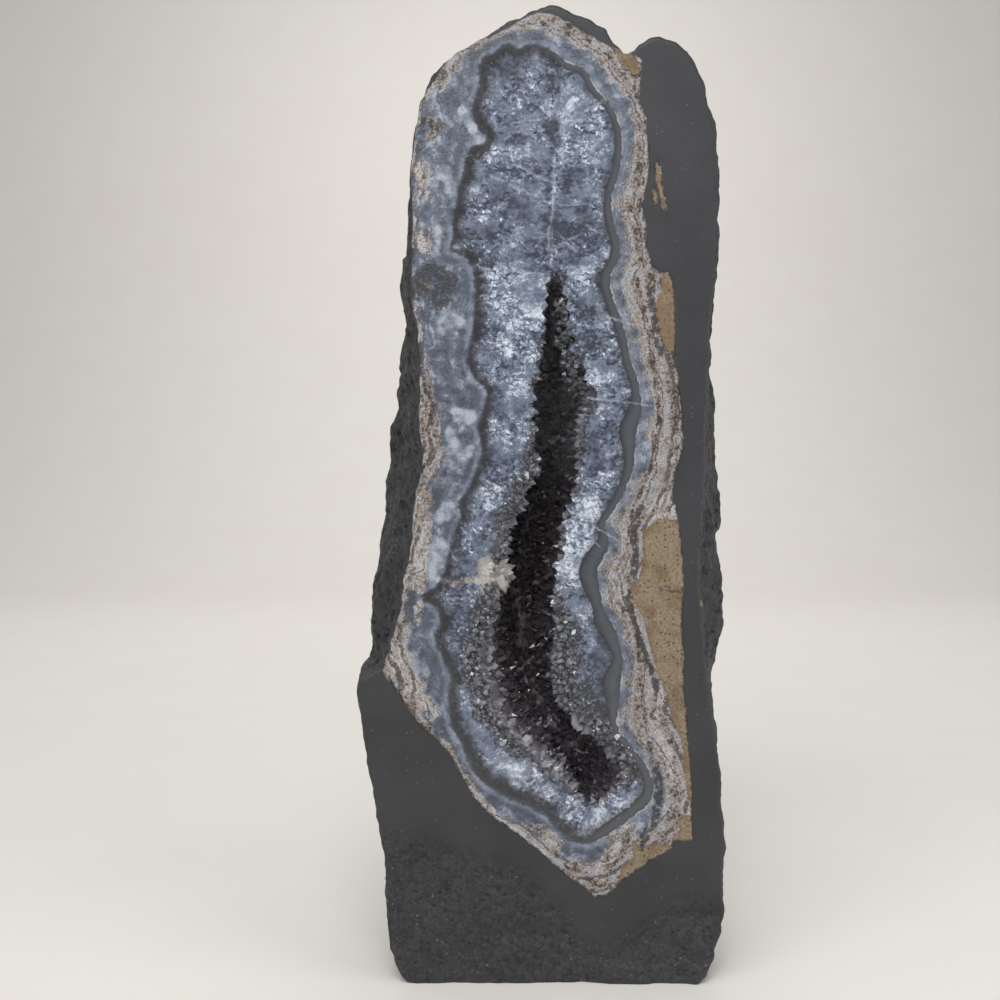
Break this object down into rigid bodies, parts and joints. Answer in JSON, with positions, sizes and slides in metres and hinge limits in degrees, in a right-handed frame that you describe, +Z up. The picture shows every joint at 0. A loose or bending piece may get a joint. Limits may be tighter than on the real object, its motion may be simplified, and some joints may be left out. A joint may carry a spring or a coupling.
{
  "type": "geode half",
  "caption": "Upright geode half, sawn flat at the front across agate and quartz round a crystal-lined hollow, rough elsewhere, with a flat base.",
  "frame": {"origin": "in the middle under the stone, on the plane of its base", "axes": "+Z up, -Y is the way the sawn face looks, +X to the right as seen from in front of that face"},
  "size_m": [0.1174, 0.0991, 0.2957],
  "materials": {
    "stone": "basalt with matt dark grey paint outside, polished agate and quartz bands on the sawn face",
    "quartz": "clear to smoky grey quartz crystals with glossy flat faces"
  },
  "bodies": {
    "root": {"stone": "stone", "crystal_crust": "quartz"}
  },
  "joints": []
}
